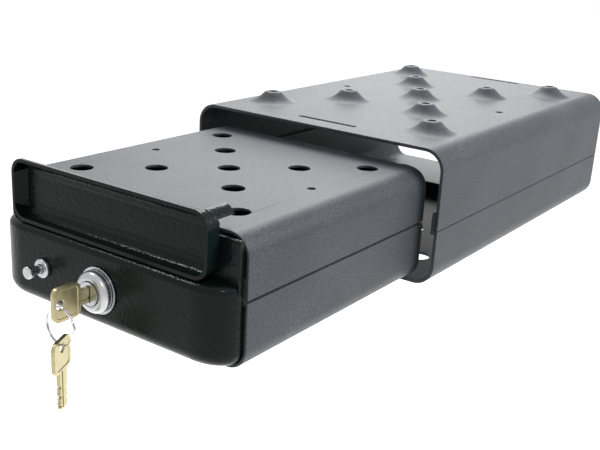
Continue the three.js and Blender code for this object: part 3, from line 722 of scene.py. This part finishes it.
# Lock plug. The plated zinc core that the key turns, with a keyway sawn in its face, and a square end that carries
# the steel cam and its screw.
PLUG_RADIUS = PLUG_BORE - GAP
PLUG_FACE = BEZEL_FRONT - GAP
PLUG_SHOULDER = BARREL_END + GAP
PLUG_END = PLUG_SHOULDER + 2
PLUG_EDGE = 0.2
PLUG_SQUARE = 7
KEYWAY_WIDTH = 2.6
KEYWAY_HEIGHT = 8.2
KEYWAY_DEPTH = 16
CAM_SCREW_RADIUS = 2.3
CAM_SCREW_DEPTH = 5
LAP = 1  # how far two pieces run into each other before they are joined


def flat_bar(name, width, height, y0, y1):
    """A bar of rectangular section along the lock's axis."""
    return block(name, -width / 2, width / 2, y0, y1, LOCK_Z - height / 2, LOCK_Z + height / 2)


plug = rod("plug_core", 0, LOCK_Z, PLUG_RADIUS, PLUG_FACE, PLUG_SHOULDER, LOCK_SIDES)
combine(plug, flat_bar("square", PLUG_SQUARE, PLUG_SQUARE, PLUG_SHOULDER - LAP, PLUG_END), "UNION")
combine(plug, flat_bar("cut", KEYWAY_WIDTH, KEYWAY_HEIGHT, PLUG_FACE - PAST, PLUG_FACE + KEYWAY_DEPTH))
combine(plug, rod("cut", 0, LOCK_Z, CAM_SCREW_RADIUS, PLUG_END - CAM_SCREW_DEPTH, PLUG_END + PAST, sides=24))
ease(plug, PLUG_EDGE)
dress(plug, bright_zinc)
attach(plug, "plug")
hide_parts("lock_plug")
dress(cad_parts["lock_cam"], zinc_steel)
dress(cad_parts["cam_screw"], zinc_steel)

# Keys. Two flat keys stamped from 2 mm nickel brass: a rounded head with a shallow coined panel and a hole for the
# ring, and a short blade with a milled groove and cuts on both edges. Handling has dulled them to olive.
KEY_SHEET = 2
KEY_TIP = PLUG_FACE + 14
KEY_EDGE = 0.18
HEAD_FRONT = PLUG_FACE - 5.1
HEAD_END = HEAD_FRONT - 16
HEAD_WIDTH = 17
HEAD_CORNER = 3.5
PANEL_BORDER = 1.6
PANEL_SLOPE = 0.3
PANEL_DEPTH = 0.25
BLADE_WIDTH = 7.6
BLADE_CORNER = 1.8
FIRST_CUT = KEY_TIP - 11.9
CUT_PITCH = 2.5
CUT_MOUTH = 1  # half the width of a cut's mouth, and of its floor
CUT_FLOOR = 0.4
CUT_DEPTHS = [(0.5, 1.0), (1.1, 0.4), (0.7, 1.2), (1.2, 0.6), (0.5, 0.9)]  # in the upper and in the lower edge
GROOVE_START = HEAD_FRONT - 0.6
GROOVE_BOTTOM = LOCK_Z - 1.9
GROOVE_TOP = LOCK_Z - 0.7
GROOVE_WEB = 1.2  # the metal left between the grooves on both faces
RING_HOLE = HEAD_END + 4.3
RING_HOLE_RADIUS = 2.5
BRASS_DARK = "#958d69"
BRASS_PALE = "#c2b992"
TARNISH = 3
nickel_brass, tree, shader = finish_of("nickel_brass")
place = add(tree, "TexCoord", {}).outputs["Object"]
spots = add(tree, "TexNoise", {"Vector": place, "Scale": 1 / (TARNISH * MM), "Detail": 5, "Roughness": 0.65})
tone = add(tree, "Mix", {0: spots.outputs["Fac"], 6: linear(BRASS_DARK), 7: linear(BRASS_PALE)}, data_type="RGBA")
dullness = add(tree, "MapRange", {"Value": spots.outputs["Fac"], "To Min": 0.28, "To Max": 0.46})
tree.links.new(tone.outputs[2], shader.inputs["Base Color"])
tree.links.new(dullness.outputs["Result"], shader.inputs["Roughness"])
shader.inputs["Metallic"].default_value = 1

head_edges = (LOCK_Z - HEAD_WIDTH / 2, LOCK_Z + HEAD_WIDTH / 2)
lower_edge, upper_edge = (LOCK_Z - BLADE_WIDTH / 2, LOCK_Z + BLADE_WIDTH / 2)


def edges_at(ys, zs):
    """One test for each edge along X that stands at one of these places."""
    return [lambda x, y, z, cy=cy, cz=cz: near(y, cy) and near(z, cz) for cy in ys for cz in zs]


key = flat_bar("key_in_lock", KEY_SHEET, HEAD_WIDTH, HEAD_END, HEAD_FRONT)
alone(key, "EDIT")
round_edges(key, HEAD_CORNER, 7, *edges_at((HEAD_END, HEAD_FRONT), head_edges))
for side in (-1, 1):
    pick(key, "FACE", lambda x, y, z: near(x, side * KEY_SHEET / 2))
    bpy.ops.mesh.inset(thickness=PANEL_BORDER * MM)
    bpy.ops.mesh.inset(thickness=PANEL_SLOPE * MM, depth=-PANEL_DEPTH * MM)
blade = flat_bar("blade", KEY_SHEET, BLADE_WIDTH, HEAD_FRONT - LAP, KEY_TIP)
alone(blade, "EDIT")
round_edges(blade, BLADE_CORNER, 3, *edges_at((KEY_TIP,), (lower_edge, upper_edge)))
cuts = [(FIRST_CUT + i * CUT_PITCH, *depths) for i, depths in enumerate(CUT_DEPTHS)]
for middle, upper, lower in cuts:
    for offset in (-CUT_MOUTH, -CUT_FLOOR, CUT_FLOOR, CUT_MOUTH):
        pick(blade, "FACE", lambda x, y, z: True)
        bpy.ops.mesh.bisect(plane_co=at(0, middle + offset, 0), plane_no=(0, 1, 0))
for middle, upper, lower in cuts:
    for rise, edge in ((-upper, upper_edge), (lower, lower_edge)):
        pick(blade, "VERT", lambda x, y, z: near(z, edge) and abs(y - middle) < CUT_FLOOR + 0.2)
        bpy.ops.transform.translate(value=(0, 0, rise * MM))
combine(key, blade, "UNION")
for side in (-1, 1):
    x0, x1 = sorted((side * GROOVE_WEB / 2, side * (KEY_SHEET / 2 + PAST)))
    combine(key, block("cut", x0, x1, GROOVE_START, KEY_TIP + PAST, GROOVE_BOTTOM, GROOVE_TOP))
let_go()
bpy.ops.mesh.primitive_cylinder_add(
    vertices=32,
    radius=RING_HOLE_RADIUS * MM,
    depth=3 * KEY_SHEET * MM,
    location=at(0, RING_HOLE, LOCK_Z),
    rotation=(0, math.pi / 2, 0),
)
bpy.ops.object.transform_apply(location=True, rotation=True, scale=True)
combine(key, bpy.context.object)
ease(key, KEY_EDGE)
dress(key, nickel_brass)

# The spare is the same key, hung from the ring by its hole and turned a little about the vertical.
RING_RADIUS = 9.2
RING_DROP = 1.4  # from the middle of a key's hole to the middle of the wire that hangs in it
RING_MIDDLE = LOCK_Z - RING_DROP - RING_RADIUS
SPARE_HOLE = RING_MIDDLE - RING_RADIUS - RING_DROP
SPARE_TURN = 25
spare = key.copy()
spare.data = key.data.copy()
spare.name = "key_on_ring"
bpy.context.collection.objects.link(spare)
alone(spare)
bpy.ops.transform.translate(value=at(0, 0, 0) - at(0, RING_HOLE, LOCK_Z))
bpy.ops.object.transform_apply(location=True, rotation=True, scale=True)
spare.data.transform(Matrix.Translation(-at(0, 0, 0)))
spare.rotation_euler = (-math.pi / 2, 0, math.radians(SPARE_TURN))
spare.location = at(0, RING_HOLE, SPARE_HOLE)
bpy.ops.object.transform_apply(location=True, rotation=True, scale=True)
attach(key, "key")
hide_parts("key")
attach(spare, "spare")
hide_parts("spare_key")

# Split ring. Spring steel wire wound in two turns side by side and nickel plated, hanging through both keys' holes.
# The plating is bright, with fine scuffs from the keys.
RING_WIRE = 0.42
RING_TURNS = 2
WIRE_SIDES = 10
WIRE_SMOOTH_ANGLE = 50
RING_PLATING = "#d2d3d6"
SCUFF = 0.8
ring_steel, tree, shader = finish_of("plated_spring_steel")
place = add(tree, "TexCoord", {}).outputs["Object"]
scuffs = add(tree, "TexNoise", {"Vector": place, "Scale": 1 / (SCUFF * MM), "Detail": 2})
polish = add(tree, "MapRange", {"Value": scuffs.outputs["Fac"], "To Min": 0.1, "To Max": 0.25})
tree.links.new(polish.outputs["Result"], shader.inputs["Roughness"])
shader.inputs["Base Color"].default_value = linear(RING_PLATING)
shader.inputs["Metallic"].default_value = 1


def coil(name, wire, radius, turns, pitch, start, steps):
    """Round wire wound about Y from a starting point on its axis, with its ends closed."""
    let_go()
    bpy.ops.mesh.primitive_circle_add(vertices=WIRE_SIDES, radius=wire * MM)
    piece = bpy.context.object
    piece.name = name
    alone(piece, "EDIT")
    bpy.ops.mesh.select_all(action="SELECT")
    bpy.ops.transform.translate(value=(radius * MM, 0, 0))
    modify(
        piece,
        "SCREW",
        axis="Y",
        angle=2 * math.pi,
        iterations=turns,
        steps=steps,
        render_steps=steps,
        screw_offset=pitch * MM,
    )
    alone(piece, "EDIT")
    bpy.ops.mesh.select_mode(type="EDGE")
    bpy.ops.mesh.select_non_manifold()
    bpy.ops.mesh.fill_holes(sides=0)
    bpy.ops.mesh.select_all(action="SELECT")
    bpy.ops.mesh.normals_make_consistent(inside=False)
    bpy.ops.transform.translate(value=start)
    bpy.ops.object.mode_set(mode="OBJECT")
    bpy.ops.object.shade_smooth_by_angle(angle=math.radians(WIRE_SMOOTH_ANGLE))
    return piece


ring_pitch = 2 * RING_WIRE
ring_start = at(0, RING_HOLE - ring_pitch, RING_MIDDLE)
ring = coil("split_ring", RING_WIRE, RING_RADIUS, RING_TURNS, ring_pitch, ring_start, steps=64)
dress(ring, ring_steel)
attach(ring, "ring")
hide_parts("key_ring")

# Push button. A plated bush with a flange stands in the cap, held by a nut, and a plunger with a small round head
# slides in it against a coil spring. A clip on the plunger keeps it in.
BUSH_SEAT = CAP_FRONT - GAP
BUSH_FRONT = BUSH_SEAT - 2.2
BUSH_END = BUSH_SEAT + 5
BUSH_RADIUS = 4.9
BUSH_BARREL_RADIUS = 3.6
BUSH_DOME = 0.9
KNOB_REAR = BUSH_FRONT - 6
KNOB_FRONT = KNOB_REAR - 2.4
KNOB_RADIUS = 3.2
KNOB_DOME = 0.8
PIN_RADIUS = 2.2
PIN_END = CASING_FRONT + 4.2
CLIP_FRONT = BUSH_END + 0.15
CLIP_REAR = CLIP_FRONT + 1.2
CLIP_GROOVE_RADIUS = 1.54
BUTTON_EDGE = 0.12
bush = rod("button_collar", BUTTON_X, BUTTON_Z, BUSH_RADIUS, BUSH_FRONT, BUSH_SEAT, sides=40)
alone(bush, "EDIT")
pick(bush, "FACE", lambda x, y, z: near(y, BUSH_SEAT))
bpy.ops.mesh.inset(thickness=(BUSH_RADIUS - BUSH_BARREL_RADIUS) * MM)
extrude(y=BUSH_END - BUSH_SEAT)
round_edges(bush, BUSH_DOME, 4, lambda x, y, z: near(y, BUSH_FRONT))
bpy.ops.object.mode_set(mode="OBJECT")
bore(bush, BUTTON_X, BUTTON_Z, BUTTON_BORE_RADIUS, BUSH_FRONT, BUSH_END, sides=32)
ease(bush, BUTTON_EDGE)
dress(bush, bright_zinc)
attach(bush, "drawer")
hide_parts("button_bush")

plunger = rod("button_pin", BUTTON_X, BUTTON_Z, KNOB_RADIUS, KNOB_FRONT, KNOB_REAR, sides=40)
alone(plunger, "EDIT")
round_edges(plunger, KNOB_DOME, 4, lambda x, y, z: near(y, KNOB_FRONT))
bpy.ops.object.mode_set(mode="OBJECT")
for name, radius, y0, y1 in (
    ("neck", PIN_RADIUS, KNOB_REAR - LAP, CLIP_FRONT),
    ("groove", CLIP_GROOVE_RADIUS, CLIP_FRONT - LAP, CLIP_REAR + LAP),
    ("tail", PIN_RADIUS, CLIP_REAR, PIN_END),
):
    combine(plunger, rod(name, BUTTON_X, BUTTON_Z, radius, y0, y1, sides=40), "UNION")
ease(plunger, BUTTON_EDGE)
dress(plunger, bright_zinc)
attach(plunger, "button")
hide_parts("button_plunger")
for name in ("button_nut", "button_clip"):
    dress(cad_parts[name], zinc_steel)

# Return spring. Four turns of 0.5 mm spring steel wire round the plunger, zinc plated, between its clip and the
# tray's front wall.
SPRING_WIRE = 0.25
SPRING_RADIUS = 3.1
SPRING_TURNS = 4
SPRING_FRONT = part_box("button_spring")[0].y / MM - MOUTH.y
SPRING_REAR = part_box("button_spring")[1].y / MM - MOUTH.y
spring_pitch = (SPRING_REAR - SPRING_FRONT - 2 * SPRING_WIRE) / SPRING_TURNS
spring_start = at(BUTTON_X, SPRING_FRONT + SPRING_WIRE, BUTTON_Z)
spring = coil("return_spring", SPRING_WIRE, SPRING_RADIUS, SPRING_TURNS, spring_pitch, spring_start, steps=24)
dress(spring, zinc_steel)
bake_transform(spring)
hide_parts("button_spring")

# Studio. A plain pale floor under the hanging safe. Two soft lamps above and behind it give its tops their sheen and
# leave the cones' near flanks dark, a low one lights the cradle's floor through its open rear, and one on the right
# lights the sides. Two small ones put glints on the gloss black rims. The camera, metal and gloss see a white room.
SAFE_MIDDLE = Vector((0, -0.08, -0.05))  # this section's places and sizes are in metres
FLOOR_PALE = "#f2f2f2"
FLOOR_PLACE = (0, 1, -0.6)
FLOOR_SIZE = 14
FLOOR_GLOW = 0.8
ROOM_FILL = 0.28


def sight(tree):
    """1 for rays from the camera, off gloss and through glass, and 0 for the light that falls on the safe."""
    rays = add(tree, "LightPath", {})
    seen = rays.outputs["Is Camera Ray"]
    for kind in ("Is Glossy Ray", "Is Transmission Ray"):
        seen = add(tree, "Math", {0: seen, 1: rays.outputs[kind]}, operation="MAXIMUM").outputs[0]
    return seen


let_go()
bpy.ops.mesh.primitive_plane_add(size=FLOOR_SIZE, location=FLOOR_PLACE)
floor = bpy.context.object
floor.name = "studio_floor"
bpy.ops.object.transform_apply(location=True, rotation=True, scale=True)
pale, tree, shader = finish_of("pale_floor")
glow = add(tree, "Math", {0: sight(tree), 1: FLOOR_GLOW}, operation="MULTIPLY")
tree.links.new(glow.outputs[0], shader.inputs["Emission Strength"])
shader.inputs["Emission Color"].default_value = (1, 1, 1, 1)
shader.inputs["Base Color"].default_value = linear(FLOOR_PALE)
shader.inputs["Roughness"].default_value = 0.9
dress(floor, pale)

world = bpy.data.worlds.new("studio_room")
bpy.context.scene.world = world
world.use_nodes = True
tree = world.node_tree
level = add(tree, "MapRange", {"Value": sight(tree), "To Min": ROOM_FILL, "To Max": 1})
backdrop = tree.nodes["Background"]
backdrop.inputs["Color"].default_value = (1, 1, 1, 1)
tree.links.new(level.outputs["Result"], backdrop.inputs["Strength"])


def lamp(name, place, size, power):
    """A square soft lamp turned towards the safe."""
    bpy.ops.object.light_add(type="AREA", location=place)
    light = bpy.context.object
    light.name = name
    light.rotation_euler = (SAFE_MIDDLE - Vector(place)).to_track_quat("-Z", "Y").to_euler()
    light.data.size = size
    light.data.energy = power
    light.visible_camera = False


lamp("lamp_above", (-0.55, 0.7, 1.15), size=0.8, power=22)
lamp("lamp_behind", (-0.9, 1.25, 0.85), size=1.4, power=10)
lamp("lamp_rear", (-0.48, 1.0, 0.15), size=0.5, power=1.1)
lamp("lamp_right", (0.9, 0.2, 0.5), size=0.5, power=12)
lamp("glint_right", (0.72, -0.95, 0.88), size=0.06, power=2.5)
lamp("glint_left", (-0.72, -0.47, 0.94), size=0.1, power=3)

# Camera. It stands where a fit to the photograph's hole patterns, edges and seams puts it, and sees what it saw.
CAMERA_PLACE = (0.3033, -0.5759, 0.1077)
CAMERA_DEGREES = (71.6381, -3.1279, 35.7988)
CAMERA_LENS = 55.01
bpy.ops.object.camera_add(location=CAMERA_PLACE)
camera = bpy.context.object
camera.rotation_euler = [math.radians(angle) for angle in CAMERA_DEGREES]
camera.data.sensor_width = 36
camera.data.lens = CAMERA_LENS
bpy.context.scene.camera = camera
bpy.context.scene.view_settings.view_transform = "Standard"
